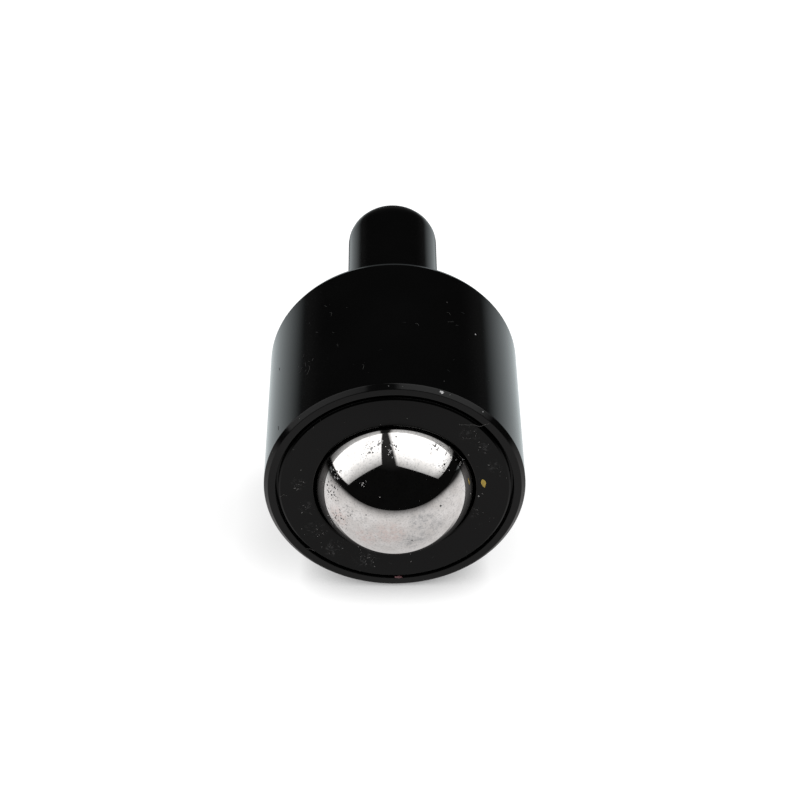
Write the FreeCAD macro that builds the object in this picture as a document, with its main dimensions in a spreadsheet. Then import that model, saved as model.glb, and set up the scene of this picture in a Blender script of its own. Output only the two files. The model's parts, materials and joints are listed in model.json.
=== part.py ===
import FreeCAD, Part
import math
import os
import Sketcher

# Ball castor: a turned black body with a plain stem, and a steel ball held in its mouth by a
# cover ring. The ball runs on rows of small bearing balls in a dished race.
# The castor stands as it is used, stem up and ball down, with the origin at the middle of the
# shoulder, the flat face that the stem rises from.

doc = FreeCAD.newDocument("BallCastor")

# Sizes in millimetres and degrees. Heights inside the body are counted up from its mouth face.
sizes = {
    # Stem
    "stem_diameter": "12.0",
    "stem_length": "29.5",
    "stem_end_radius": "2.9",
    # Body
    "rim_wall": "1.41",
    "shoulder_wall": "6.0",
    "face_chamfer": "0.5",
    "shoulder_edge_radius": "0.4",
    "rim_edge_break": "0.1",
    # Load ball, set back by the depth of its centre behind the mouth face
    "ball_diameter": "20.0",
    "ball_setback": "3.3",
    # Bearing balls
    "bearing_diameter": "4.0",
    "bearing_spacing": "0.08",
    "running_clearance": "0.1",
    "last_row_angle": "77.7",
    # Race
    "race_crown": "1.8",
    "race_rim_wall": "1.2",
    "race_chamfer": "0.6",
    "press_gap": "0.02",
    # Cover ring, with a narrow groove between it and the rim of the body
    "ring_seat_width": "0.32",
    "ring_proud": "0.1",
    "groove_width": "0.36",
    "groove_depth": "1.0",
    "lip_clearance": "0.2",
    "lip_edge_radius": "0.25",
    "ring_edge_break": "0.28",
}

# Radii and heights that follow from the sizes
derived = {
    "stem_radius": "Sizes.stem_diameter / 2",
    "ball_radius": "Sizes.ball_diameter / 2",
    "bearing_radius": "Sizes.bearing_diameter / 2",
    "bearing_reach": "bearing_radius + Sizes.running_clearance",
    "layer_radius": "ball_radius + bearing_reach",
    "race_seat_radius": "layer_radius + bearing_reach",
    "chamber_radius": "layer_radius * sin(Sizes.last_row_angle) + bearing_reach",
    "mouth_radius": "chamber_radius + Sizes.ring_seat_width",
    "body_radius": "mouth_radius + Sizes.rim_wall",
    "ring_seat": "Sizes.ball_setback + layer_radius * cos(Sizes.last_row_angle) - bearing_reach",
    "chamber_top": "Sizes.ball_setback + race_seat_radius + Sizes.race_crown",
    "shoulder_height": "chamber_top + Sizes.shoulder_wall",
    "stem_top": "shoulder_height + Sizes.stem_length",
    "ball_drop": "shoulder_height - Sizes.ball_setback",
    "ring_front_radius": "mouth_radius - Sizes.groove_width",
    "ring_outer_radius": "mouth_radius - Sizes.press_gap",
    "ring_socket_radius": "ball_radius + Sizes.lip_clearance",
    "ring_socket": "Sizes.ball_setback + Sizes.ring_proud",
    "ring_step": "Sizes.groove_depth + Sizes.ring_proud",
    "ring_thickness": "ring_seat + Sizes.ring_proud",
    "ring_drop": "shoulder_height + Sizes.ring_proud",
    "lip_radius": "sqrt(ring_socket_radius ^ 2 - ring_socket ^ 2)",
    "race_radius": "chamber_radius - Sizes.press_gap",
    "race_mouth_radius": "race_radius - Sizes.race_rim_wall",
    "race_mouth": "sqrt(race_seat_radius ^ 2 - race_mouth_radius ^ 2)",
    "race_top": "race_seat_radius + Sizes.race_crown",
}


def fill_sheet(name, cells, prefix):
    sheet = doc.addObject("Spreadsheet::Sheet", name)
    for line, (alias, content) in enumerate(cells.items(), start=1):
        sheet.set(f"A{line}", alias)
        sheet.set(f"B{line}", prefix + content)
        sheet.setAlias(f"B{line}", alias)
    doc.recompute()
    return sheet


sheets = {
    "Sizes": fill_sheet("Sizes", sizes, ""),
    "Derived": fill_sheet("Derived", derived, "="),
}


def cell(alias):
    owner = "Sizes" if alias in sizes else "Derived"
    return f"{owner}.{alias}"


def value(alias):
    owner = "Sizes" if alias in sizes else "Derived"
    return float(sheets[owner].get(alias))


full_turn = 360
edge_tolerance = 1e-4


# A corner of a turned profile is a pair of cells, radius and height. None lies on an axis.
def coordinate(alias):
    return value(alias) if alias else 0.0


def origin_plane(body, role):
    return next(feature for feature in body.Origin.OriginFeatures if feature.Role == role)


def hold_corner(sketch, line, corner, label):
    ways = (("DistanceX", -2, corner[0]), ("DistanceY", -1, corner[1]))
    for kind, axis, alias in ways:
        if alias is None:
            sketch.addConstraint(Sketcher.Constraint("PointOnObject", line, 1, axis))
            continue
        number = sketch.addConstraint(Sketcher.Constraint(kind, -1, 1, line, 1, value(alias)))
        name = f"{label}_{kind}"
        sketch.renameConstraint(number, name)
        sketch.setExpression(f"Constraints.{name}", cell(alias))


# A turned piece: its half section in the XZ plane, spun about Z
def turned_body(label, corners):
    body = doc.addObject("PartDesign::Body", label)
    body.Label = label
    sketch = body.newObject("Sketcher::SketchObject", f"{label}_section")
    sketch.AttachmentSupport = [(origin_plane(body, "XZ_Plane"), "")]
    sketch.MapMode = "FlatFace"
    names = list(corners)
    points = [FreeCAD.Vector(coordinate(corners[n][0]), coordinate(corners[n][1]), 0) for n in names]
    for index, point in enumerate(points):
        following = points[(index + 1) % len(points)]
        sketch.addGeometry(Part.LineSegment(point, following))
    for index in range(len(names)):
        following = (index + 1) % len(names)
        sketch.addConstraint(Sketcher.Constraint("Coincident", index, 2, following, 1))
    for index, name in enumerate(names):
        hold_corner(sketch, index, corners[name], name)
    turning = body.newObject("PartDesign::Revolution", f"{label}_turning")
    turning.Profile = sketch
    turning.ReferenceAxis = (sketch, ["V_Axis"])
    turning.Angle = full_turn
    doc.recompute()
    return body


# The round edge of a turned body at a given radius and height
def edge_at(body, radius, height):
    for number, edge in enumerate(body.Tip.Shape.Edges, start=1):
        curve = edge.Curve
        if not isinstance(curve, Part.Circle):
            continue
        off_height = abs(curve.Center.z - coordinate(height))
        off_radius = abs(curve.Radius - value(radius))
        if off_height + off_radius < edge_tolerance:
            return f"Edge{number}"
    raise RuntimeError(f"{body.Label} has no edge at {radius}, {height}")


def ease_edge(body, kind, corner, alias):
    base = body.Tip
    edge = edge_at(body, *corner)
    feature = body.newObject(f"PartDesign::{kind}", f"{body.Label}_{alias}")
    feature.Base = (base, [edge])
    feature.setExpression("Radius" if kind == "Fillet" else "Size", cell(alias))
    doc.recompute()


def hollow_sphere(body, radius, height):
    hollow = body.newObject("PartDesign::SubtractiveSphere", f"{body.Label}_hollow")
    hollow.setExpression("Radius", cell(radius))
    if height:
        hollow.setExpression("Placement.Base.z", cell(height))
    doc.recompute()


def stand_at(piece, x, y, z):
    for axis, place in (("x", x), ("y", y), ("z", z)):
        if place:
            piece.setExpression(f"Placement.Base.{axis}", place)


# Housing: body and stem turned from one bar, bored from below in two steps
def make_housing():
    corners = {
        "rim_inner": ("mouth_radius", None),
        "rim_outer": ("body_radius", None),
        "shoulder_outer": ("body_radius", "shoulder_height"),
        "stem_root": ("stem_radius", "shoulder_height"),
        "stem_end": ("stem_radius", "stem_top"),
        "stem_centre": (None, "stem_top"),
        "chamber_centre": (None, "chamber_top"),
        "chamber_corner": ("chamber_radius", "chamber_top"),
        "seat_inner": ("chamber_radius", "ring_seat"),
        "seat_outer": ("mouth_radius", "ring_seat"),
    }
    housing = turned_body("housing", corners)
    ease_edge(housing, "Fillet", corners["stem_end"], "stem_end_radius")
    ease_edge(housing, "Chamfer", corners["rim_outer"], "face_chamfer")
    ease_edge(housing, "Fillet", corners["shoulder_outer"], "shoulder_edge_radius")
    ease_edge(housing, "Chamfer", corners["rim_inner"], "rim_edge_break")
    stand_at(housing, None, None, "-" + cell("shoulder_height"))
    return housing


# Race: a hardened disc pressed to the end of the bore, dished to the bearing balls
def make_race():
    corners = {
        "mouth_centre": (None, "race_mouth"),
        "mouth_rim": ("race_radius", "race_mouth"),
        "back_rim": ("race_radius", "race_top"),
        "back_centre": (None, "race_top"),
    }
    race = turned_body("race", corners)
    hollow_sphere(race, "race_seat_radius", None)
    ease_edge(race, "Chamfer", corners["back_rim"], "race_chamfer")
    stand_at(race, None, None, "-" + cell("ball_drop"))
    return race


# Cover ring: pressed into the mouth against a step, with a lip that keeps the ball in
def make_cover_ring():
    corners = {
        "front_centre": (None, None),
        "front_rim": ("ring_front_radius", None),
        "groove_inner": ("ring_front_radius", "ring_step"),
        "groove_outer": ("ring_outer_radius", "ring_step"),
        "back_rim": ("ring_outer_radius", "ring_thickness"),
        "back_centre": (None, "ring_thickness"),
    }
    ring = turned_body("cover_ring", corners)
    hollow_sphere(ring, "ring_socket_radius", "ring_socket")
    ease_edge(ring, "Fillet", ("lip_radius", None), "lip_edge_radius")
    ease_edge(ring, "Chamfer", corners["front_rim"], "ring_edge_break")
    stand_at(ring, None, None, "-" + cell("ring_drop"))
    return ring


def make_ball(label, radius):
    ball = doc.addObject("Part::Sphere", label)
    ball.Label = label
    ball.setExpression("Radius", cell(radius))
    return ball


def make_load_ball():
    ball = make_ball("load_ball", "ball_radius")
    stand_at(ball, None, None, "-" + cell("ball_drop"))
    return ball


# How many bearing balls fit side by side on a circle around the axis
def balls_around(circle_radius, pitch):
    return max(1, math.floor(math.pi / math.asin(pitch / 2 / circle_radius)))


# Bearing balls: one at the crown and then rows around it, down to the last row at the bore wall
def make_bearing_balls():
    layer = value("layer_radius")
    pitch = value("bearing_diameter") + value("bearing_spacing")
    least_step = 2 * math.degrees(math.asin(pitch / 2 / layer))
    rows = math.floor(value("last_row_angle") / least_step)
    balls = []
    for row in range(rows + 1):
        tilt = f"{cell('last_row_angle')} * {row} / {rows}"
        circle_radius = layer * math.sin(math.radians(value("last_row_angle") * row / rows))
        count = balls_around(circle_radius, pitch) if row else 1
        for place in range(count):
            ball = make_ball(f"bearing_ball_{len(balls) + 1:02d}", "bearing_radius")
            out = f"{cell('layer_radius')} * sin({tilt})"
            turn = f"{full_turn} * {place} / {count}"
            up = f"{cell('layer_radius')} * cos({tilt}) - {cell('ball_drop')}"
            stand_at(ball, f"{out} * cos({turn})", f"{out} * sin({turn})", up)
            balls.append(ball)
    return balls


pieces = [make_housing(), make_race(), make_cover_ring(), make_load_ball()]
pieces += make_bearing_balls()
doc.recompute()

for item in doc.Objects:
    if "Invalid" in item.State or "Error" in item.State:
        raise RuntimeError(f"{item.Label} did not build")
for piece in pieces:
    if piece.Shape.isNull() or not piece.Shape.isValid():
        raise RuntimeError(f"{piece.Label} has no sound shape")

os.makedirs("parts", exist_ok=True)
for piece in pieces:
    piece.Shape.exportStep(f"parts/{piece.Label}.step")
body_diameter = 2 * value("body_radius")
overall = value("stem_top") + value("ball_radius") - value("ball_setback")
print(f"{len(pieces)} pieces, body {body_diameter:.2f} across, {overall:.2f} long over the ball")
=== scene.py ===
import bmesh
import bpy
import json
import math
from mathutils import Matrix, Vector, noise


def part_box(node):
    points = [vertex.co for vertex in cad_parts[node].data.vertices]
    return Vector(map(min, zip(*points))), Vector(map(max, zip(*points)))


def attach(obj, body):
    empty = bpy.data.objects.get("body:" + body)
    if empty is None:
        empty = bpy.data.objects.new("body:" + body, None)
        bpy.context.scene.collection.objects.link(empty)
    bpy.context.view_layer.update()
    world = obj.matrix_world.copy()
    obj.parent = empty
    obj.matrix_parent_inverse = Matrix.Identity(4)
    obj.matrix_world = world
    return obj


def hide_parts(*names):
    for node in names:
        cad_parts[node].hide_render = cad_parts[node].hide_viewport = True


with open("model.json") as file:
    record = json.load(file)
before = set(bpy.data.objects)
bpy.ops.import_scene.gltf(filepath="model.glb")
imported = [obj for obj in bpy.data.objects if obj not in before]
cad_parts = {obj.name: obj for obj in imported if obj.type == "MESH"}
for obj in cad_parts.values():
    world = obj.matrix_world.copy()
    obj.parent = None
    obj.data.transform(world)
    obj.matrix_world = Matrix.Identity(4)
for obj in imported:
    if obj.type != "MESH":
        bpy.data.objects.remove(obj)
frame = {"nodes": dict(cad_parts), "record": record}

scene = bpy.context.scene
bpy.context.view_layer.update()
mm = 0.001

# sizes that the frame gives
housingLow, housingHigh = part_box("housing")
raceLow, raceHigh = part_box("race")
ringLow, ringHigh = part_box("cover_ring")
ballLow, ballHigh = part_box("load_ball")
stemMount = next(m for m in frame["record"]["mounts"] if m["name"] == "stem")
bodyRadius = min(housingHigh.x, -housingLow.x)
stemRadius = stemMount["dims"]["r_mm"] * mm
stemTopZ = housingHigh.z
shoulderZ = stemMount["pos_m"][2]
mouthZ = housingLow.z
ringFrontZ = ringLow.z
ringBackZ = ringHigh.z
ballCentre = Vector((0, 0, (ballLow.z + ballHigh.z) / 2))
ballRadius = (ballHigh.z - ballLow.z) / 2
pressGap = 0.02 * mm  # between pressed pieces and their bores
mouthRadius = ringHigh.x + pressGap
chamberRadius = raceHigh.x + pressGap
print("frame loaded, body", round(2 * bodyRadius / mm, 2), "mm across")


# shapes

def roundedOutline(corners, steps):
    # each corner is (radius, height, rounding); a rounding of 0 keeps the point
    points = []
    count = len(corners)
    for index, (r, z, rounding) in enumerate(corners):
        here = Vector((r, z))
        if rounding == 0:
            points.append(here)
            continue
        before = Vector(corners[index - 1][:2]) - here
        after = Vector(corners[(index + 1) % count][:2]) - here
        half = before.angle(after) / 2
        reach = rounding / math.tan(half)
        hold = min(rounding, 0.3 * (min(before.length, after.length) - reach))
        before.normalize()
        after.normalize()
        start = here + before * reach
        middle = here + (before + after).normalized() * (rounding / math.sin(half))
        sweep = (start - middle).angle_signed(here + after * reach - middle)
        points.append(start + before * hold)  # holds the flat face flat
        for step in range(steps + 1):
            points.append(middle + Matrix.Rotation(-sweep * step / steps, 2) @ (start - middle))
        points.append(here + after * (reach + hold))
    return points


def turnedMesh(name, outline, segments):
    # spins a closed half section about Z; points on the axis become single poles
    vertices, faces, rings = [], [], []
    for point in outline:
        if point.x < 1e-9:
            rings.append([len(vertices)] * segments)
            vertices.append((0, 0, point.y))
            continue
        rings.append(list(range(len(vertices), len(vertices) + segments)))
        for k in range(segments):
            turn = 2 * math.pi * k / segments
            vertices.append((point.x * math.cos(turn), point.x * math.sin(turn), point.y))
    for low, high in zip(rings, rings[1:] + rings[:1]):
        for k in range(segments):
            following = (k + 1) % segments
            face = list(dict.fromkeys((low[k], low[following], high[following], high[k])))
            if len(face) > 2:
                faces.append(face)
    mesh = bpy.data.meshes.new(name)
    mesh.from_pydata(vertices, [], faces)
    mesh.validate()
    mesh.polygons.foreach_set("use_smooth", [True] * len(mesh.polygons))
    mesh.update()
    return mesh


def addPiece(name, mesh, body, slot, *nodes):
    piece = bpy.data.objects.new(name, mesh)
    scene.collection.objects.link(piece)
    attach(piece, body)
    if nodes:
        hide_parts(*nodes)
    return piece


def onFace(radius, degrees, lift=0.0):
    # a point on the front of the castor: radius in mm and angle round the stem's axis
    turn = math.radians(degrees)
    z = ringFrontZ if radius * mm < mouthRadius else mouthZ
    return Vector((radius * mm * math.cos(turn), radius * mm * math.sin(turn), z - lift))


def onSide(degrees, height, lift=0.0):
    # a point on the side of the body: angle, and height in mm
    turn = math.radians(degrees)
    out = bodyRadius + lift
    return Vector((out * math.cos(turn), out * math.sin(turn), height * mm))


# node trees for finishes and lights

class Tree:
    # adds nodes to a tree; an input takes a socket, or a plain value that is set on it
    def __init__(self, tree):
        self.tree = tree

    def add(self, kind, **settings):
        node = self.tree.nodes.new(kind)
        for key, value in settings.items():
            setattr(node, key, value)
        return node

    def feed(self, socket, value):
        if isinstance(value, bpy.types.NodeSocket):
            self.tree.links.new(value, socket)
        else:
            socket.default_value = value

    def feedAll(self, node, values):
        for socket, value in zip(node.inputs, values):
            self.feed(socket, value)
        return node

    def math(self, operation, *values):
        return self.feedAll(self.add("ShaderNodeMath", operation=operation), values).outputs[0]

    def vector(self, operation, *values):
        node = self.feedAll(self.add("ShaderNodeVectorMath", operation=operation), values)
        return node.outputs["Value" if operation in ("DISTANCE", "LENGTH") else "Vector"]

    def split(self, vector):
        return self.feedAll(self.add("ShaderNodeSeparateXYZ"), [vector]).outputs

    def ramp(self, value, low, high, toLow=0.0, toHigh=1.0, curve="SMOOTHSTEP"):
        node = self.add("ShaderNodeMapRange", interpolation_type=curve)
        limits = {"Value": value, "From Min": low, "From Max": high, "To Min": toLow, "To Max": toHigh}
        for key, limit in limits.items():
            self.feed(node.inputs[key], limit)
        return node.outputs["Result"]

    def choose(self, share, a, b):
        return self.feedAll(self.add("ShaderNodeMixShader"), (share, a, b)).outputs[0]

    def forEye(self, mirrored, seen):
        # one shader for reflections and another for what the camera sees
        return self.choose(self.add("ShaderNodeLightPath").outputs["Is Camera Ray"], mirrored, seen)


class Finish(Tree):
    def __init__(self, name):
        self.material = bpy.data.materials.new(name)
        self.material.use_nodes = True
        super().__init__(self.material.node_tree)
        self.shader = self.tree.nodes["Principled BSDF"]
        self.coords = self.add("ShaderNodeTexCoord").outputs["Object"]

    def shade(self, **values):
        names = {"color": "Base Color", "rough": "Roughness", "metal": "Metallic", "normal": "Normal",
                 "ior": "IOR"}
        for key, value in values.items():
            self.feed(self.shader.inputs[names[key]], value)

    def noise(self, size, detail=2.0, output="Fac"):
        # size is the rough size of a cloud, in metres
        node = self.add("ShaderNodeTexNoise")
        self.feed(node.inputs["Vector"], self.coords)
        node.inputs["Scale"].default_value = 1 / size
        node.inputs["Detail"].default_value = detail
        return node.outputs[output]

    def clouds(self, size, detail, low, high, toLow=0.0, toHigh=1.0):
        # noise between two levels, stretched to the range asked for
        return self.ramp(self.noise(size, detail), low, high, toLow, toHigh)

    def mix(self, share, a, b):
        node = self.add("ShaderNodeMix", data_type="RGBA")
        self.feed(node.inputs[0], share)
        self.feed(node.inputs[6], a)
        self.feed(node.inputs[7], b)
        return node.outputs[2]

    def blend(self, share, a, b):
        node = self.add("ShaderNodeMix", data_type="FLOAT")
        self.feed(node.inputs[0], share)
        self.feed(node.inputs[2], a)
        self.feed(node.inputs[3], b)
        return node.outputs[0]

    def bump(self, height, depth, normal=None):
        node = self.add("ShaderNodeBump")
        self.feed(node.inputs["Height"], height)
        node.inputs["Distance"].default_value = depth
        if normal:
            self.feed(node.inputs["Normal"], normal)
        return node.outputs["Normal"]

    def near(self, place, reach, core=0.3):
        # 1 at a place, fading to 0 at the reach
        return self.ramp(self.vector("DISTANCE", self.coords, place), reach, reach * core)

    def most(self, masks):
        total = masks[0]
        for mask in masks[1:]:
            total = self.math("MAXIMUM", total, mask)
        return total

    def spots(self, spacing, share, size, vector=None):
        # round spots in some cells of a random pattern; share is how many cells have one
        cell = self.add("ShaderNodeTexVoronoi")
        self.feed(cell.inputs["Vector"], vector or self.coords)
        cell.inputs["Scale"].default_value = 1 / spacing
        chance = self.split(cell.outputs["Color"])
        kept = self.math("LESS_THAN", chance[0], share)
        smallest = size * 0.2
        softEdge = size * 0.25
        radius = self.math("MULTIPLY_ADD", chance[1], size - smallest, smallest)
        inside = self.math("SUBTRACT", radius, cell.outputs["Distance"])
        return self.math("MULTIPLY", kept, self.ramp(inside, 0.0, softEdge))

    def scratches(self, plane, spacing, share, length, width):
        # short straight scratches, one in some cells of a flat random pattern
        cell = self.add("ShaderNodeTexVoronoi", voronoi_dimensions="2D")
        self.feed(cell.inputs["Vector"], plane)
        cell.inputs["Scale"].default_value = 1 / spacing
        chance = self.split(cell.outputs["Color"])
        turn = self.add("ShaderNodeVectorRotate", rotation_type="Z_AXIS")
        self.feed(turn.inputs["Vector"], self.vector("SUBTRACT", plane, cell.outputs["Position"]))
        self.feed(turn.inputs["Angle"], self.math("MULTIPLY", chance[0], 2 * math.pi))
        along, across, _ = self.split(turn.outputs["Vector"])
        fullLength = length * 0.4
        fullWidth = width * 0.3
        inLength = self.ramp(self.math("ABSOLUTE", along), length, fullLength)
        inWidth = self.ramp(self.math("ABSOLUTE", across), width, fullWidth)
        kept = self.math("LESS_THAN", chance[1], share)
        return self.math("MULTIPLY", self.math("MULTIPLY", inLength, inWidth), kept)

    def aroundBody(self):
        # the side of the body unrolled: distance round it and height
        x, y, z = self.split(self.coords)
        node = self.add("ShaderNodeCombineXYZ")
        self.feed(node.inputs[0], self.math("MULTIPLY", self.math("ARCTAN2", y, x), bodyRadius))
        self.feed(node.inputs[1], z)
        return node.outputs[0]

    def fromAxis(self):
        return self.vector("LENGTH", self.vector("MULTIPLY", self.coords, (1.0, 1.0, 0.0)))

    def turningLines(self, pitch):
        # fine rings left by the lathe, across the face and along the side alike
        node = self.add("ShaderNodeTexNoise", noise_dimensions="1D")
        self.feed(node.inputs["W"], self.math("ADD", self.fromAxis(), self.split(self.coords)[2]))
        node.inputs["Scale"].default_value = 1 / pitch
        node.inputs["Detail"].default_value = 3.0
        return node.outputs["Fac"]


def grey(level, warm=0.0):
    return (level * (1 + warm), level, level * (1 - warm), 1.0)


# what the black coats of the body and the ring have in common
coatSkin = {
    "fineShare": 0.3,
    "evenFrom": 0.3,
    "evenTo": 0.7,
    "latheDepth": 0.0004 * mm,
    "fineDepth": 0.0012 * mm,
    "markRough": 0.5,
}


def shadeSkin(f, look, cloud, marks):
    # gloss and fine relief of a black coat; marks are where it is scuffed or bare
    s = coatSkin
    fine = f.noise(look["fine"])
    uneven = f.math("MULTIPLY_ADD", fine, s["fineShare"], f.math("MULTIPLY", cloud, 1 - s["fineShare"]))
    gloss = f.ramp(uneven, s["evenFrom"], s["evenTo"], look["roughLow"], look["roughHigh"])
    f.shade(rough=f.math("MAXIMUM", gloss, f.math("MULTIPLY", marks, s["markRough"])))
    skin = f.bump(f.turningLines(look["lathe"]), s["latheDepth"], f.bump(fine, s["fineDepth"]))
    f.shade(normal=f.bump(f.math("SUBTRACT", 1.0, marks), look["markDepth"], skin))


# housing: body and stem turned from one bar, in a glossy black coat

housingShape = {
    "segments": 256,
    "arcSteps": 8,
    "faceChamfer": 0.5 * mm,
    "shoulderRise": 0.75 * mm,
    "shoulderSlope": 0.35 * mm,
    "shoulderEdge": 0.15 * mm,
    "stemEnd": 2.9 * mm,
    "edge": 0.09 * mm,
    "innerEdge": 0.05 * mm,
}
blackCoat = {
    "dark": 0.003,
    "pale": 0.005,
    "cloud": 9 * mm,
    "fine": 0.35 * mm,
    "lathe": 0.07 * mm,
    "wallDepth": 0.1 * mm,  # scratches keep to the side wall
    "scratches": {"spacing": 2.6 * mm, "share": 0.10, "length": 0.3 * mm, "width": 0.03 * mm},
    "specks": {"spacing": 1.1 * mm, "share": 0.06, "size": 0.06},
    "scuffLevel": 0.02,
    "scuffShare": 0.6,
    "markDepth": 0.008 * mm,
    "bareLevel": 0.8,
    "bareClouds": (0.2 * mm, 3.0, 0.3, 0.42),
    "chipHeight": 0.3 * mm,
    "chipCore": 0.6,
    # bare spots on the chamfer: place, size in mm, how bare
    "chips": (((15.52, 290.2), 0.16, 1.0), ((15.46, 290.9), 0.20, 1.0), ((15.57, 291.6), 0.11, 1.0),
              ((15.5, 311.7), 0.11, 0.5), ((15.5, 294.5), 0.08, 0.2), ((15.4, 273.5), 0.07, 0.15),
              ((15.45, 267.5), 0.08, 0.2), ((15.4, 224.0), 0.08, 0.15), ((15.5, 201.0), 0.07, 0.2),
              ((15.45, 48.0), 0.08, 0.2), ((15.4, 118.0), 0.08, 0.2)),
}
# the coat is burnished on the chamfer and more so on the shoulder's slope
coatGloss = {
    "blackCoat": {"ior": 1.28, "roughLow": 0.09, "roughHigh": 0.14},
    "chamferCoat": {"ior": 1.38, "roughLow": 0.09, "roughHigh": 0.14},
    "shoulderCoat": {"ior": 2.4, "roughLow": 0.04, "roughHigh": 0.05},
}


def makeBlackCoat(name, gloss):
    f = Finish(name)
    look = {**blackCoat, **gloss}
    cloud = f.noise(look["cloud"], 3.0)
    depth = look["wallDepth"]
    onSideWall = f.ramp(f.fromAxis(), bodyRadius - depth, bodyRadius - depth / 2)
    scratches = f.scratches(f.aroundBody(), **look["scratches"])
    scuffs = f.math("MAXIMUM", f.math("MULTIPLY", onSideWall, scratches), f.spots(**look["specks"]))
    chips = []
    for place, size, bareness in look["chips"]:
        onChamfer = onFace(*place, -look["chipHeight"])
        chips.append(f.math("MULTIPLY", f.near(onChamfer, size * mm, look["chipCore"]), bareness))
    bare = f.math("MULTIPLY", f.most(chips), f.clouds(*look["bareClouds"]))
    coat = f.mix(cloud, grey(look["dark"]), grey(look["pale"]))
    worn = f.mix(f.math("MULTIPLY", scuffs, look["scuffShare"]), coat, grey(look["scuffLevel"]))
    f.shade(color=f.mix(bare, worn, grey(look["bareLevel"])), ior=look["ior"])
    shadeSkin(f, look, cloud, f.math("MAXIMUM", scuffs, bare))
    return f.material


def makeHousing():
    s = housingShape
    corners = [
        (mouthRadius, mouthZ, s["edge"]),
        (bodyRadius - s["faceChamfer"], mouthZ, s["edge"]),
        (bodyRadius, mouthZ + s["faceChamfer"], s["edge"]),
        (bodyRadius, shoulderZ - s["shoulderRise"], s["shoulderEdge"]),
        (bodyRadius - s["shoulderSlope"], shoulderZ, s["shoulderEdge"]),
        (stemRadius, shoulderZ, s["innerEdge"]),
        (stemRadius, stemTopZ, s["stemEnd"]),
        (0.0, stemTopZ, 0),
        (0.0, raceHigh.z, 0),
        (chamberRadius, raceHigh.z, s["innerEdge"]),
        (chamberRadius, ringBackZ, s["innerEdge"]),
        (mouthRadius, ringBackZ, s["innerEdge"]),
    ]
    mesh = turnedMesh("blackHousing", roundedOutline(corners, s["arcSteps"]), s["segments"])
    for name, gloss in coatGloss.items():
        mesh.materials.append(makeBlackCoat(name, gloss))
    for face in mesh.polygons:
        inset = bodyRadius - face.center.xy.length
        if face.center.z < mouthZ + s["faceChamfer"] and inset < s["faceChamfer"]:
            face.material_index = 1
        if face.center.z > shoulderZ - s["shoulderRise"] and inset < s["shoulderSlope"]:
            face.material_index = 2
    addPiece("blackHousing", mesh, "housing", "blackened_steel", "housing")


# cover ring: pressed into the mouth, its lip keeps the ball in

ringShape = {
    "segments": 256,
    "arcSteps": 6,
    "grooveWidth": 0.36 * mm,
    "grooveDepth": 1.0 * mm,
    "slopeWidth": 0.23 * mm,
    "slopeDepth": 0.15 * mm,
    "lipEdge": 0.25 * mm,
    "edge": 0.05 * mm,
    "socketClearance": 0.2 * mm,
    "socketSteps": 10,
}
satinRing = {
    "dark": 0.0010,
    "pale": 0.0020,
    "ior": 1.245,
    "roughLow": 0.12,
    "roughHigh": 0.19,
    "cloud": 6 * mm,
    "fine": 0.3 * mm,
    "lathe": 0.06 * mm,
    "scratches": {"spacing": 0.9 * mm, "length": 0.28 * mm, "width": 0.02 * mm},
    "specks": {"spacing": 0.45 * mm, "size": 0.11},
    "marksElsewhere": 0.05,
    "marksRubbed": 0.5,  # added where the ring is rubbed
    "scuffLevel": 0.05,
    "scuffShare": 0.8,
    "markDepth": 0.006 * mm,
    "smearLevel": 0.05,
    "smearClouds": (0.4 * mm, 3.0, 0.5, 0.75),
    "rubbed": (((12.2, 316.0), 1.6), ((12.6, 328.0), 1.4), ((12.4, 343.0), 1.2), ((11.5, 185.0), 1.2),
               ((11.0, 167.0), 1.2), ((11.4, 147.0), 1.8), ((11.8, 129.0), 1.8), ((11.6, 108.0), 2.0),
               ((9.95, 21.0), 1.0)),
}


def makeSatinRing():
    f = Finish("satinRing")
    look = satinRing
    cloud = f.noise(look["cloud"], 3.0)
    rubbed = f.most([f.near(onFace(*place), reach * mm) for place, reach in look["rubbed"]])
    share = f.math("MULTIPLY_ADD", rubbed, look["marksRubbed"], look["marksElsewhere"])
    scuffs = f.math("MAXIMUM", f.scratches(f.coords, share=share, **look["scratches"]),
                    f.spots(share=share, **look["specks"]))
    coat = f.mix(cloud, grey(look["dark"]), grey(look["pale"]))
    smears = f.math("MULTIPLY", rubbed, f.clouds(*look["smearClouds"]))
    coat = f.mix(smears, coat, grey(look["smearLevel"]))
    worn = f.mix(f.math("MULTIPLY", scuffs, look["scuffShare"]), coat, grey(look["scuffLevel"]))
    f.shade(color=worn, ior=look["ior"])
    shadeSkin(f, look, cloud, scuffs)
    return f.material


def makeRing():
    s = ringShape
    outerRadius = ringHigh.x
    frontRadius = mouthRadius - s["grooveWidth"]
    socket = ballRadius + s["socketClearance"]
    grooveZ = mouthZ + s["grooveDepth"]
    low = math.asin((ringFrontZ - ballCentre.z) / socket)
    high = math.asin((ringBackZ - ballCentre.z) / socket)
    corners = [
        (frontRadius - s["slopeWidth"], ringFrontZ, s["edge"]),
        (frontRadius, ringFrontZ + s["slopeDepth"], s["edge"]),
        (frontRadius, grooveZ, s["edge"]),
        (outerRadius, grooveZ, s["edge"]),
        (outerRadius, ringBackZ, s["edge"]),
    ]
    for step in range(s["socketSteps"] + 1):
        turn = high + (low - high) * step / s["socketSteps"]
        rounding = s["lipEdge"] if step == s["socketSteps"] else 0
        corners.append((socket * math.cos(turn), ballCentre.z + socket * math.sin(turn), rounding))
    mesh = turnedMesh("coverRing", roundedOutline(corners, s["arcSteps"]), s["segments"])
    mesh.materials.append(makeSatinRing())
    addPiece("coverRing", mesh, "housing", "satin_black_ring", "cover_ring")


# load ball: polished steel with small rust pits, places in mm from its centre

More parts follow.
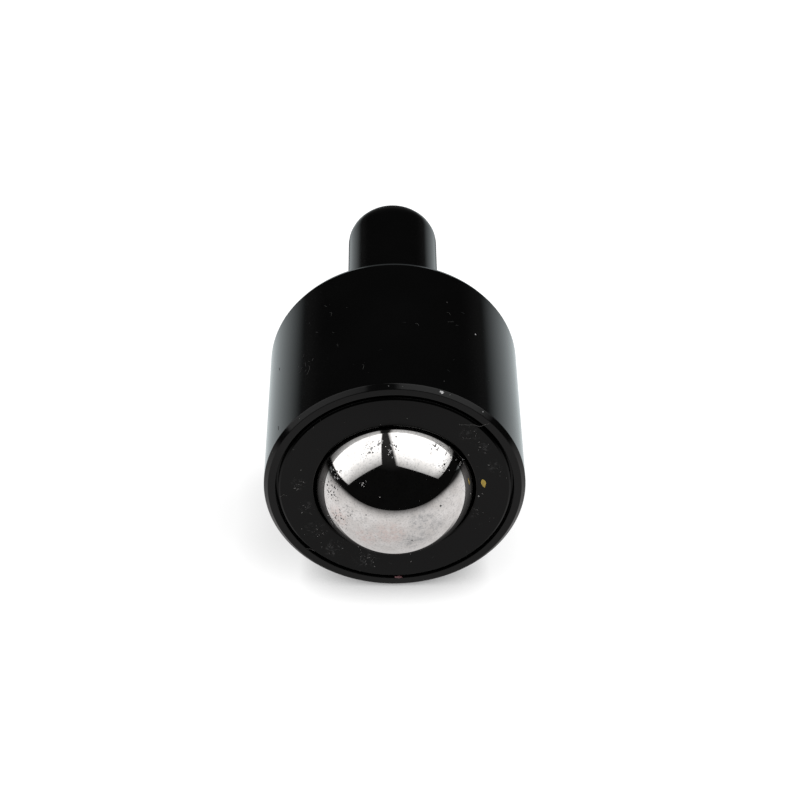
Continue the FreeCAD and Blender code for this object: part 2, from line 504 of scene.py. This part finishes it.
ballShape = {"segments": 192, "rings": 96}
polishedSteel = {
    "bright": 0.80,
    "brightWarm": 0.02,
    "dull": 0.70,
    "dullWarm": 0.03,
    "steelClouds": (1.2 * mm, 4.0, 0.35, 0.65),
    "polishClouds": (0.5 * mm, 3.0, 0.3, 0.7, 0.0245, 0.0455),  # gives the roughness
    "veilLevel": 0.448,
    "grainVeil": 0.7,
    "grainClouds": (0.22 * mm, 3.0, 0.45, 0.75),
    "hazeVeil": 0.9,
    "hazeRough": 0.14,
    "hazeClouds": (0.6 * mm, 6.0, 0.35, 0.75),
    "pitTone": (0.3 * mm, 2.0, 0.45, 0.6, 0.04, 0.75),
    "pitRough": 0.6,
    "pitDepth": 0.02 * mm,
    "pitShare": 0.95,
    "strayPits": 0.003,
    "ragged": 0.12 * mm,
    # pits: spacing, share, and size in a cell
    "pitSizes": ((0.24 * mm, 0.8, 0.48), (0.36 * mm, 1.0, 0.44), (0.7 * mm, 1.0, 0.27)),
    "pitted": (((-7.4, -2.6, -6.2), 2.0), ((-7.1, -2.1, -6.7), 1.4), ((-6.9, 1.0, -7.2), 2.2),
               ((-7.3, 2.2, -6.5), 1.4), ((-7.0, -4.4, -5.6), 1.5), ((-5.4, -0.9, -8.4), 1.0),
               ((-3.7, -4.9, -7.9), 0.6), ((-1.9, -8.3, -5.2), 1.0), ((-3.0, -7.8, -5.4), 1.2),
               ((-0.2, -8.3, -5.6), 1.3), ((4.7, -7.7, -4.4), 1.4), ((6.2, -6.6, -4.4), 1.4),
               ((5.5, -5.9, -5.9), 1.1), ((7.7, -5.0, -3.9), 1.0), ((3.0, 7.0, 6.5), 3.0),
               ((-6.0, 5.0, 6.2), 2.6)),
    "dots": (((5.35, -1.73, -8.27), 0.16), ((-3.41, -1.27, -9.31), 0.12), ((1.99, 2.62, -9.44), 0.14),
             ((-7.1, 1.2, -7.0), 0.15), ((-6.9, 0.6, -7.2), 0.10), ((-6.6, 1.5, -7.4), 0.09),
             ((-7.1, -2.1, -6.7), 0.12), ((-6.7, -1.7, -7.2), 0.10)),
    "hazy": (((3.4, -0.7, -9.4), 2.4), ((2.2, 2.8, -9.3), 2.6), ((4.6, 1.2, -8.8), 2.0)),
    "stained": (((-0.6, 1.2, -9.9), 2.6), ((-3.4, 2.4, -9.0), 2.2), ((-6.6, 0.6, -7.4), 2.0)),
    "stain": (0.74, 0.60, 0.56, 1.0),
    "stainClouds": (0.5 * mm, 4.0, 0.4, 0.6, 0.1, 0.6),
    # how much of a patch is full: pitted areas fade out slowly and dots are nearly solid
    "pittedCore": 0.1,
    "dotCore": 0.7,
    "patchCore": 0.3,
}


def makePolishedSteel():
    f = Finish("polishedSteel")
    p = polishedSteel

    def patches(name, core):
        masks = []
        for place, reach in p[name]:
            masks.append(f.near(ballCentre + Vector(place) * mm, reach * mm, p[core]))
        return f.most(masks)

    share = f.math("MULTIPLY_ADD", patches("pitted", "pittedCore"), p["pitShare"], p["strayPits"])
    shift = f.noise(p["ragged"], output="Color")
    ragged = f.vector("MULTIPLY_ADD", shift, (p["ragged"],) * 3, f.coords)
    pits = [patches("dots", "dotCore")]
    for spacing, part, size in p["pitSizes"]:
        pits.append(f.spots(spacing, f.math("MULTIPLY", share, part), size, ragged))
    pits = f.most(pits)
    haze = f.math("MULTIPLY", patches("hazy", "patchCore"), f.clouds(*p["hazeClouds"]))
    stained = f.math("MULTIPLY", patches("stained", "patchCore"), f.clouds(*p["stainClouds"]))
    grain = f.math("MULTIPLY", f.clouds(*p["grainClouds"]), p["grainVeil"])
    veil = f.math("MULTIPLY_ADD", haze, p["hazeVeil"], grain)
    dull, bright = grey(p["dull"], p["dullWarm"]), grey(p["bright"], p["brightWarm"])
    steel = f.mix(stained, f.mix(f.clouds(*p["steelClouds"]), dull, bright), p["stain"])
    dulled = f.mix(veil, steel, grey(p["veilLevel"]))
    f.shade(color=f.mix(pits, dulled, f.clouds(*p["pitTone"])), metal=1.0)
    polish = f.blend(haze, f.clouds(*p["polishClouds"]), p["hazeRough"])
    f.shade(rough=f.blend(pits, polish, p["pitRough"]))
    f.shade(normal=f.bump(f.math("SUBTRACT", 1.0, pits), p["pitDepth"]))
    return f.material


def makeBall():
    s = ballShape
    outline = []
    for step in range(s["rings"] + 1):
        tilt = -math.pi / 2 + math.pi * step / s["rings"]
        z = ballCentre.z + ballRadius * math.sin(tilt)
        outline.append(Vector((ballRadius * math.cos(tilt), z)))
    outline[0].x = outline[-1].x = 0.0
    mesh = turnedMesh("steelBall", outline, s["segments"])
    mesh.materials.append(makePolishedSteel())
    addPiece("steelBall", mesh, "load_ball", "polished_steel", "load_ball")


makeHousing()
makeRing()
makeBall()
print("turned pieces made")


# race and bearing balls keep their own shapes and get ground steel

groundSteel = {
    "race": {"level": 0.42, "rough": 0.30},
    "bearing": {"level": 0.62, "rough": 0.12},
    "cloud": 0.8 * mm,
    "cloudShare": 0.15,
    "polish": 0.3 * mm,
    "polishShare": 0.25,
    "grain": 0.15 * mm,
    "grainDepth": 0.0008 * mm,
}


def makeGroundSteel(name, level, rough):
    f = Finish(name)
    g = groundSteel
    dull = grey(level * (1 - g["cloudShare"]))
    f.shade(color=f.mix(f.noise(g["cloud"], 3.0), dull, grey(level)), metal=1.0)
    spread = rough * g["polishShare"]
    f.shade(rough=f.clouds(g["polish"], 2.0, 0.3, 0.7, rough - spread, rough + spread))
    f.shade(normal=f.bump(f.noise(g["grain"]), g["grainDepth"]))
    return f.material


raceSteel = makeGroundSteel("raceSteel", **groundSteel["race"])
bearingSteel = makeGroundSteel("bearingSteel", **groundSteel["bearing"])
for name, node in frame["nodes"].items():
    if name == "race" or name.startswith("bearing_ball"):
        node.data.materials.clear()
        node.data.materials.append(raceSteel if name == "race" else bearingSteel)
print("inner pieces finished")


# dust and lint, made by geometry nodes on the face and the side

# thick dust is listed by place, reach in mm and amount
dust = {
    "face": {"density": 5e6, "grain": 0.08 * mm, "seed": 11, "rows": 14, "everywhere": 0.015,
             "thick": (((12.2, 316.0), 1.3, 1.0), ((12.6, 328.0), 1.3, 0.5), ((12.4, 343.0), 1.0, 0.4),
                       ((11.5, 185.0), 1.0, 0.9), ((11.0, 167.0), 1.1, 0.8), ((11.4, 147.0), 1.6, 0.9),
                       ((11.8, 129.0), 1.6, 1.0), ((11.6, 108.0), 1.8, 1.0), ((10.3, 18.0), 0.9, 1.2),
                       ((10.3, 8.0), 0.7, 0.6))},
    "side": {"density": 4.5e6, "grain": 0.055 * mm, "seed": 4, "rows": 40, "everywhere": 0.004,
             "thick": (((240.0, -8.0), 3.0, 0.03), ((228.0, -15.5), 2.5, 0.06),
                       ((255.0, -21.0), 2.0, 0.05), ((296.0, -10.0), 2.5, 0.05),
                       ((208.0, -20.0), 3.0, 0.04), ((309.0, -11.0), 1.5, 0.05))},
    "columns": 180,
    "faceInner": 10.05,  # in mm, just outside the ring's lip
    "edgeRoom": 0.06 * mm,
    "fall": 0.5,
    "level": {"low": 0.08, "high": 0.34, "rough": 1.0},
}
grains = {
    "rarity": 2.5,  # most grains are small
    "smallest": 0.2,
    "slim": (0.8, 0.6, 0.3),
    "stout": (2.6, 1.0, 0.6),
    "shapeSeed": 5,
    "spinSeed": 9,
    "facesEach": 20,
}
fibre = {"points": 16, "sides": 6}
lint = {
    "thickness": 0.02 * mm,
    "face": {"low": 0.07, "high": 0.2, "rough": 0.9},
    "side": {"low": 0.02, "high": 0.09, "rough": 0.9},
    "facePaths": (((12.5, 306.8), (13.2, 311.1), (13.6, 313.0), (13.9, 315.8), (14.4, 316.7),
                   (15.0, 317.9)),
                 ((13.7, 176.0), (13.3, 177.5), (12.9, 176.5)),
                 ((14.3, 139.0), (13.9, 138.0), (13.7, 135.5)),
                 ((11.45, 187.3), (11.15, 187.6)),
                 ((11.4, 184.6), (11.1, 184.8)),
                 ((10.8, 161.5), (10.65, 159.0))),
    "sidePaths": (((229.6, -16.4), (230.0, -17.2), (228.4, -18.0)),
                 ((225.4, -15.8), (223.8, -16.4)),
                 ((256.2, -20.6), (256.9, -20.9), (256.4, -21.5)),
                 ((279.4, -12.9), (280.4, -12.8), (280.9, -13.2)),
                 ((294.2, -9.0), (295.4, -8.9), (296.0, -9.2)),
                 ((294.6, -10.9), (297.4, -10.4)),
                 ((237.2, -5.9), (238.6, -6.4)),
                 ((242.0, -12.3), (242.8, -12.6)),
                 ((244.3, -15.1), (244.9, -15.6)),
                 ((226.3, -13.4), (225.7, -13.9)),
                 ((232.9, -10.5), (234.1, -10.8)),
                 ((229.0, -15.4), (229.9, -15.7)),
                 ((227.2, -15.2), (227.6, -16.1)),
                 ((231.4, -15.9), (231.9, -15.5)),
                 ((228.1, -16.9), (227.2, -17.1)),
                 ((309.0, -10.5), (309.4, -10.8)),
                 ((240.2, -8.0), (241.2, -8.2), (241.0, -8.8)),
                 ((298.6, -10.9), (299.8, -10.7)),
                 ((206.1, -10.2), (206.5, -10.8)),
                 ((208.6, -22.4), (208.9, -23.2))),
}


def growTree(name, inputs):
    # an empty geometry tree with the named inputs, and its first and last node
    tree = bpy.data.node_groups.new(name, "GeometryNodeTree")
    tree.interface.new_socket("Geometry", in_out="INPUT", socket_type="NodeSocketGeometry")
    for label, kind in inputs.items():
        tree.interface.new_socket(label, in_out="INPUT", socket_type="NodeSocket" + kind)
    tree.interface.new_socket("Geometry", in_out="OUTPUT", socket_type="NodeSocketGeometry")
    return tree, tree.nodes.new("NodeGroupInput"), tree.nodes.new("NodeGroupOutput")


def wire(tree, kind, links=None, **settings):
    # adds a node; links maps its inputs to sockets or plain values
    node = tree.nodes.new(kind)
    for key, value in settings.items():
        setattr(node, key, value)
    for key, value in (links or {}).items():
        if isinstance(value, bpy.types.NodeSocket):
            tree.links.new(value, node.inputs[key])
        else:
            node.inputs[key].default_value = value
    return node


def finishTree(tree, geometry, finish, end):
    real = wire(tree, "GeometryNodeRealizeInstances", {"Geometry": geometry})
    done = wire(tree, "GeometryNodeSetMaterial", {"Geometry": real.outputs[0], "Material": finish})
    tree.links.new(done.outputs[0], end.inputs[0])
    return tree


def scatterTree():
    inputs = {"Density": "Float", "Grain": "Float", "Seed": "Int", "Finish": "Material"}
    tree, start, end = growTree("scatterDust", inputs)
    given = start.outputs

    def number(operation, *values):
        return wire(tree, "ShaderNodeMath", dict(enumerate(values)), operation=operation).outputs[0]

    def draw(kind, links):
        return wire(tree, "FunctionNodeRandomValue", links, data_type=kind).outputs

    dusty = wire(tree, "GeometryNodeInputNamedAttribute", {"Name": "dusty"}, data_type="FLOAT")
    amount = number("MULTIPLY", given["Density"], dusty.outputs["Attribute"])
    points = wire(tree, "GeometryNodeDistributePointsOnFaces",
                  {"Mesh": given["Geometry"], "Density": amount, "Seed": given["Seed"]}).outputs
    chance = draw("FLOAT", {"Seed": given["Seed"]})[1]
    few = number("POWER", chance, grains["rarity"])
    share = number("MULTIPLY_ADD", few, 1 - grains["smallest"], grains["smallest"])
    size = number("MULTIPLY", share, given["Grain"])
    forms = {"Min": grains["slim"], "Max": grains["stout"], "Seed": grains["shapeSeed"]}
    shape = draw("FLOAT_VECTOR", forms)[0]
    scale = wire(tree, "ShaderNodeVectorMath", {0: shape, "Scale": size}, operation="SCALE")
    spin = draw("FLOAT_VECTOR", {"Max": (0.0, 0.0, 2 * math.pi), "Seed": grains["spinSeed"]})[0]
    turn = wire(tree, "FunctionNodeRotateRotation", {"Rotation": points["Rotation"], "Rotate By": spin},
                rotation_space="LOCAL")
    grain = wire(tree, "GeometryNodeMeshIcoSphere", {"Radius": 1.0, "Subdivisions": 1})
    placed = wire(tree, "GeometryNodeInstanceOnPoints",
                  {"Points": points["Points"], "Instance": grain.outputs["Mesh"],
                   "Rotation": turn.outputs[0], "Scale": scale.outputs[0]})
    return finishTree(tree, placed.outputs["Instances"], given["Finish"], end)


def fibreTree():
    tree, start, end = growTree("layFibres", {"Thickness": "Float", "Finish": "Material"})
    given = start.outputs
    path = wire(tree, "GeometryNodeMeshToCurve", {"Mesh": given["Geometry"]})
    soft = wire(tree, "GeometryNodeCurveSplineType", {"Curve": path.outputs[0]}, spline_type="CATMULL_ROM")
    even = wire(tree, "GeometryNodeResampleCurve", {"Curve": soft.outputs[0], "Count": fibre["points"]})
    section = wire(tree, "GeometryNodeCurvePrimitiveCircle",
                   {"Resolution": fibre["sides"], "Radius": given["Thickness"]})
    tube = wire(tree, "GeometryNodeCurveToMesh",
                {"Curve": even.outputs[0], "Profile Curve": section.outputs[0], "Fill Caps": True})
    return finishTree(tree, tube.outputs[0], given["Finish"], end)


def growMesh(name, base, tree, values):
    # runs a geometry tree on a base mesh and returns the result as a plain mesh
    carrier = bpy.data.objects.new(name, base)
    scene.collection.objects.link(carrier)
    modifier = carrier.modifiers.new(tree.name, "NODES")
    modifier.node_group = tree
    for item in tree.interface.items_tree:
        if item.in_out == "INPUT" and item.name in values:
            modifier[item.identifier] = values[item.name]
    ready = carrier.evaluated_get(bpy.context.evaluated_depsgraph_get())
    mesh = bpy.data.meshes.new_from_object(ready)
    mesh.name = name
    bpy.data.objects.remove(carrier)
    return mesh


def dustyGrid(name, place, onSurface, look):
    # a fine grid round the axis that carries how dusty each of its points is
    rows, columns = look["rows"], dust["columns"]
    vertices, faces = [], []
    for row in range(rows + 1):
        vertices += [place(row / rows, 360 * column / columns) for column in range(columns)]
    for row in range(rows):
        low, high = row * columns, (row + 1) * columns
        for column in range(columns):
            following = (column + 1) % columns
            faces.append((low + column, low + following, high + following, high + column))
    mesh = bpy.data.meshes.new(name)
    mesh.from_pydata(vertices, [], faces)
    centres = [(onSurface(*where), reach * mm, amount) for where, reach, amount in look["thick"]]
    widest = bodyRadius - dust["edgeRoom"]  # dust any further out would widen the part
    weights = []
    for vertex in vertices:
        weight = look["everywhere"]
        for centre, reach, amount in centres:
            weight += amount * max(0.0, 1 - (vertex - centre).length / reach) ** dust["fall"]
        weights.append(0.0 if max(abs(vertex.x), abs(vertex.y)) > widest else weight)
    mesh.attributes.new("dusty", "FLOAT", "POINT").data.foreach_set("value", weights)
    return mesh


def fibrePaths(name, paths):
    mesh = bpy.data.meshes.new(name)
    vertices, edges = [], []
    for path in paths:
        edges += [(len(vertices) + k, len(vertices) + k + 1) for k in range(len(path) - 1)]
        vertices += path
    mesh.from_pydata(vertices, edges, [])
    return mesh


def makeFluff(name, low, high, rough):
    f = Finish(name)
    cloud, grain = 0.2 * mm, 0.05 * mm
    f.shade(color=f.mix(f.noise(cloud), grey(low, 0.03), grey(high, 0.02)))
    f.shade(rough=f.clouds(grain, 2.0, 0.3, 0.7, rough * 0.85, rough))
    return f.material


def makeDust():
    paleDust = makeFluff("paleDust", **dust["level"])
    scatter = scatterTree()

    def facePlace(share, degrees):
        inner = dust["faceInner"]
        outer = (mouthRadius - ringShape["grooveWidth"] - ringShape["slopeWidth"]) / mm
        return onFace(inner + (outer - inner) * share, degrees)

    def sidePlace(share, degrees):
        low = (mouthZ + housingShape["faceChamfer"]) / mm
        high = (shoulderZ - housingShape["shoulderRise"]) / mm
        return onSide(degrees, low + (high - low) * share)

    for name, place, onSurface, look, slot in (
            ("faceDust", facePlace, onFace, dust["face"], "satin_black_ring"),
            ("sideDust", sidePlace, onSide, dust["side"], "blackened_steel")):
        values = {"Density": look["density"], "Grain": look["grain"], "Seed": look["seed"],
                  "Finish": paleDust}
        mesh = growMesh(name, dustyGrid(name, place, onSurface, look), scatter, values)
        addPiece(name, mesh, "housing", slot)
        print(name, len(mesh.polygons) // grains["facesEach"], "grains")


def makeLint():
    fibres = fibreTree()
    thickness = lint["thickness"]
    for side, onSurface, slot in (
            ("face", onFace, "satin_black_ring"),
            ("side", onSide, "blackened_steel")):
        name = side + "Lint"
        paths = [[onSurface(*point, thickness) for point in path] for path in lint[side + "Paths"]]
        values = {"Thickness": thickness, "Finish": makeFluff(side + "Fibre", **lint[side])}
        mesh = growMesh(name, fibrePaths(name, paths), fibres, values)
        addPiece(name, mesh, "housing", slot)


makeDust()
makeLint()


# crumbs stuck to the castor: a yellow flake, a reddish flake in the groove and two white grains

crumbs = {
    "yellowFlake": {"place": (10.62, 354.6), "size": (0.60, 0.30, 0.04), "turn": 80, "sink": 0.0,
                    "seed": 3, "pale": (0.92, 0.72, 0.16), "deep": (0.55, 0.34, 0.03)},
    "whiteGrain": {"place": (10.1, 5.4), "size": (0.09, 0.08, 0.08), "turn": 0, "sink": 0.0,
                   "seed": 8, "pale": (0.9, 0.9, 0.88), "deep": (0.7, 0.7, 0.68)},
    "redFlake": {"place": (14.05, 88.2), "size": (0.50, 0.17, 0.16), "turn": 0, "sink": 0.05,
                 "seed": 5, "pale": (0.26, 0.13, 0.14), "deep": (0.14, 0.04, 0.05)},
    "sideGrain": {"sidePlace": (309.2, -10.6), "size": (0.10, 0.06, 0.08), "turn": 0, "sink": 0.0,
                  "seed": 6, "pale": (0.9, 0.9, 0.9), "deep": (0.7, 0.7, 0.7)},
}
crumbForm = {
    "subdivisions": 3,
    "lumps": 0.35,
    "lumpScale": 1.3,
    "narrow": 0.45,
    "cloud": 0.15 * mm,
    "roughClouds": (0.08 * mm, 2.0, 0.3, 0.7, 0.45, 0.7),
    "grain": 0.05 * mm,
    "grainDepth": 0.01 * mm,
}


def makeCrumbs():
    bm = bmesh.new()
    finishes = []
    form = crumbForm
    for index, (name, c) in enumerate(crumbs.items()):
        made = bmesh.ops.create_icosphere(bm, subdivisions=form["subdivisions"], radius=1.0)["verts"]
        shift = Vector((c["seed"], c["seed"] * 1.7, 0.3))  # a lump pattern of its own
        for vertex in made:
            vertex.co *= 1 + form["lumps"] * noise.noise(vertex.co * form["lumpScale"] + shift)
            vertex.co.y *= 1 - form["narrow"] * max(0.0, vertex.co.x)  # narrow at one end
            vertex.co = Vector(along * size * mm for along, size in zip(vertex.co, c["size"]))
        stand = onFace(*c["place"]) if "place" in c else onSide(*c["sidePlace"])
        stand.z += c["sink"] * mm
        placed = Matrix.Translation(stand) @ Matrix.Rotation(math.radians(c["turn"]), 4, "Z")
        bmesh.ops.transform(bm, matrix=placed, verts=made)
        for face in {face for vertex in made for face in vertex.link_faces}:
            face.material_index = index
            face.smooth = True
        f = Finish(name)
        f.shade(color=f.mix(f.noise(form["cloud"], 3.0), c["deep"] + (1.0,), c["pale"] + (1.0,)))
        f.shade(rough=f.clouds(*form["roughClouds"]))
        f.shade(normal=f.bump(f.noise(form["grain"]), form["grainDepth"]))
        finishes.append(f.material)
    mesh = bpy.data.meshes.new("crumbs")
    bm.to_mesh(mesh)
    bm.free()
    for finish in finishes:
        mesh.materials.append(finish)
    addPiece("crumbs", mesh, "housing", "satin_black_ring")


makeCrumbs()
print("dust, lint and crumbs laid")


# table that the castor lies on, white, one-sided so that views from behind see the castor

table = {
    "halfWidth": 1.2,
    "front": -0.10,
    "back": 1.6,
    "gap": 0.02 * mm,
    "seen": 0.30,
    "glow": 1.0,
    "shadows": ((4 * mm, 0.50), (10 * mm, 0.34)),  # reach and depth
    "shadowSamples": 3,
    "sideShadow": {"x": -17 * mm, "z": -12 * mm, "reach": 15 * mm, "core": 0.2, "depth": 0.14},
}
# what the castor mirrors in the table: a pool of light that fades outwards
lightPool = {
    "level": 1.02,
    "reach": 140 * mm,
    "fall": 1.5,
    "frontFade": 0.25,
    "frontFadeEnd": -55 * mm,
    "ownShade": 0.28,  # in front of the mouth
    "ownReach": 38 * mm,
    "ownCore": 0.1,
    "flankShade": 0.95,  # far out on either side, and not behind
    "flankAside": (60 * mm, 200 * mm),
    "flankBack": (50 * mm, 10 * mm),
    "contactShade": 0.9,  # under the body
    "contactAside": (20 * mm, 9 * mm),
    "contactFront": (-0.1 * mm, 0.3 * mm),  # from the mouth
    "tintFront": (1.02, 1.0, 1.0, 1.0),
    "tintBack": (0.92, 1.0, 1.02, 1.0),
    "tintEnd": 10 * mm,
}


def makeLightPool(f, tableY):
    p = lightPool
    x, _, z = f.split(f.coords)
    aside = f.math("ABSOLUTE", x)
    away = f.math("DIVIDE", f.vector("DISTANCE", f.coords, (0.0, tableY, 0.0)), p["reach"])
    strength = f.math("DIVIDE", p["level"], f.math("ADD", f.math("POWER", away, p["fall"]), 1.0))
    own = f.near((0.0, tableY, mouthZ), p["ownReach"], p["ownCore"])
    flank = f.math("MULTIPLY", f.ramp(aside, *p["flankAside"]), f.ramp(z, *p["flankBack"]))
    low, high = p["contactFront"]
    contact = f.math("MULTIPLY", f.ramp(aside, *p["contactAside"]), f.ramp(z, mouthZ + low, mouthZ + high))
    for shade, depth in ((own, "ownShade"), (flank, "flankShade"), (contact, "contactShade")):
        strength = f.math("MULTIPLY", strength, f.math("MULTIPLY_ADD", shade, -p[depth], 1.0))
    front = f.ramp(z, table["front"], p["frontFadeEnd"], p["frontFade"])
    pool = f.add("ShaderNodeEmission")
    f.feed(pool.inputs["Color"], f.mix(f.ramp(z, mouthZ, p["tintEnd"]), p["tintFront"], p["tintBack"]))
    f.feed(pool.inputs["Strength"], f.math("MULTIPLY", strength, front))
    return pool.outputs[0]


def makeTableTop(f, tableY):
    # white, with soft shadows round the castor
    light = table["glow"]
    for reach, depth in table["shadows"]:
        clear = f.add("ShaderNodeAmbientOcclusion", samples=table["shadowSamples"])
        clear.inputs["Distance"].default_value = reach
        hidden = f.math("SUBTRACT", 1.0, clear.outputs["AO"])
        light = f.math("SUBTRACT", light, f.math("MULTIPLY", hidden, depth))
    beside = table["sideShadow"]
    shade = f.near((beside["x"], tableY, beside["z"]), beside["reach"], beside["core"])
    light = f.math("SUBTRACT", light, f.math("MULTIPLY", shade, beside["depth"]))
    matt = f.add("ShaderNodeBsdfDiffuse")
    matt.inputs["Color"].default_value = grey(table["seen"])
    glow = f.add("ShaderNodeEmission")
    f.feed(glow.inputs["Strength"], light)
    return f.feedAll(f.add("ShaderNodeAddShader"), (matt.outputs[0], glow.outputs[0])).outputs[0]


def makeTable():
    y = bodyRadius + table["gap"]
    w, front, back = table["halfWidth"], table["front"], table["back"]
    mesh = bpy.data.meshes.new("table")
    mesh.from_pydata([(-w, y, front), (w, y, front), (w, y, back), (-w, y, back)], [], [(0, 1, 2, 3)])
    mesh.update()
    board = bpy.data.objects.new("table", mesh)
    scene.collection.objects.link(board)
    f = Finish("tableWhite")
    f.tree.nodes.remove(f.shader)
    top = f.forEye(makeLightPool(f, y), makeTableTop(f, y))
    fromBelow = f.add("ShaderNodeNewGeometry").outputs["Backfacing"]
    oneSided = f.choose(fromBelow, top, f.add("ShaderNodeBsdfTransparent").outputs[0])
    f.feed(f.tree.nodes["Material Output"].inputs["Surface"], oneSided)
    f.material.cycles.emission_sampling = "NONE"
    mesh.materials.append(f.material)


makeTable()


# two soft panels over the table, like a low roof with a gap at its ridge

panels = {
    "leftPanel": {"centre": (-0.3253, -0.2069, -0.1206), "across": (-0.758, 0.648, 0.076),
                  "along": (0.144, -0.034, 0.989), "width": 0.559, "depth": 0.386,
                  "glow": 1.55, "frontGlow": 0.22, "fade": 0.5, "outerGlow": 0.35,
                  "ridgeFront": 0.03, "ridgeSoft": 0.02, "outerSoft": 0.02},
    "rightPanel": {"centre": (0.2670, -0.2578, -0.1431), "across": (0.919, 0.392, 0.046),
                   "along": (-0.087, 0.028, 0.996), "width": 0.690, "depth": 0.403,
                   "glow": 1.75, "frontGlow": 0.25, "fade": 0.5, "outerGlow": 0.35,
                   "ridgeFront": 0.08, "ridgeSoft": 0.05, "outerSoft": 0.25},
}


def makePanel(name, p):
    data = bpy.data.lights.new(name, "AREA")
    data.shape = "RECTANGLE"
    data.size, data.size_y = p["width"], p["depth"]
    data.energy = p["glow"] * math.pi * p["width"] * p["depth"]
    data.use_nodes = True
    onLeft = p["centre"][0] < 0
    n = Tree(data.node_tree)
    fromRidge, fromFront, _ = n.split(n.add("ShaderNodeNewGeometry").outputs["Parametric"])
    if onLeft:  # the left panel runs from back to front
        fromFront = n.math("SUBTRACT", 1.0, fromFront)
    ridge = p["ridgeFront"]
    slant = n.math("MULTIPLY_ADD", fromFront, ridge, fromRidge)  # the edge at the ridge runs at a slant
    inner = n.ramp(slant, ridge, ridge + p["ridgeSoft"], curve="LINEAR")
    outer = n.ramp(fromRidge, 1.0, 1.0 - p["outerSoft"], p["outerGlow"], curve="LINEAR")
    front = n.ramp(fromFront, 0.0, p["fade"], p["frontGlow"], curve="LINEAR")
    strength = n.math("MULTIPLY", n.math("MULTIPLY", inner, outer), front)
    n.feed(n.tree.nodes["Emission"].inputs["Strength"], strength)
    x = Vector(p["across"]).normalized()
    along = Vector(p["along"])
    z = along.cross(x) if onLeft else x.cross(along)
    z.normalize()  # a panel shines along its own -Z
    lamp = bpy.data.objects.new(name, data)
    lamp.matrix_world = Matrix((x, z.cross(x), z)).transposed().to_4x4()
    lamp.location = p["centre"]
    lamp.visible_camera = False
    scene.collection.objects.link(lamp)


for name, panel in panels.items():
    makePanel(name, panel)


# surroundings: white to the eye, dim in reflections, a little lighter overhead

surroundings = {
    "seen": 1.0,
    "dim": 0.005,
    "overhead": {"from": -0.65, "to": -0.95, "glow": 0.03},  # along -Y, away from the table
    "behind": {"from": 0.85, "to": 0.95, "glow": 0.12},  # along +Z, beyond the stem
    "horizon": {"from": 0.4, "to": 0.6, "height": 0.25, "glow": 0.05},  # a band low down at the back
}


def makeSurroundings():
    world = bpy.data.worlds.new("surroundings")
    scene.world = world
    world.use_nodes = True
    world.node_tree.nodes.clear()
    s = surroundings
    n = Tree(world.node_tree)
    _, y, z = n.split(n.add("ShaderNodeTexCoord").outputs["Generated"])
    light = s["dim"]
    for direction, part in ((y, s["overhead"]), (z, s["behind"])):
        rise = n.ramp(direction, part["from"], part["to"], 0.0, part["glow"], "LINEAR")
        light = n.math("ADD", rise, light)
    horizon = s["horizon"]
    band = n.ramp(n.math("ABSOLUTE", y), horizon["height"], 0.0, 0.0, horizon["glow"])
    atBack = n.ramp(z, horizon["from"], horizon["to"], curve="LINEAR")
    lit = n.add("ShaderNodeBackground")
    n.feed(lit.inputs["Strength"], n.math("MULTIPLY_ADD", band, atBack, light))
    seen = n.add("ShaderNodeBackground")
    n.feed(seen.inputs["Color"], grey(s["seen"]))
    surface = n.add("ShaderNodeOutputWorld").inputs["Surface"]
    n.feed(surface, n.forEye(lit.outputs[0], seen.outputs[0]))


makeSurroundings()
scene.view_settings.view_transform = "Standard"
print("stage and light set")


# camera at the photograph's viewing angle, its up along the table's normal

photoView = {
    "eye": (-0.9986, -174.03, -230.39),
    "forward": (0.00625, 0.6161, 0.7876),
    "lens": 101.30,
    "sensor": 36.0,
    "near": 0.01,
    "far": 10.0,
}


def makeCamera():
    data = bpy.data.cameras.new("camera")
    data.lens = photoView["lens"]
    data.sensor_width = photoView["sensor"]
    data.clip_start = photoView["near"]
    data.clip_end = photoView["far"]
    back = -Vector(photoView["forward"]).normalized()
    right = Vector((0, -1, 0)).cross(back).normalized()
    camera = bpy.data.objects.new("camera", data)
    camera.matrix_world = Matrix((right, back.cross(right), back)).transposed().to_4x4()
    camera.location = Vector(photoView["eye"]) * mm
    scene.collection.objects.link(camera)
    scene.camera = camera


makeCamera()
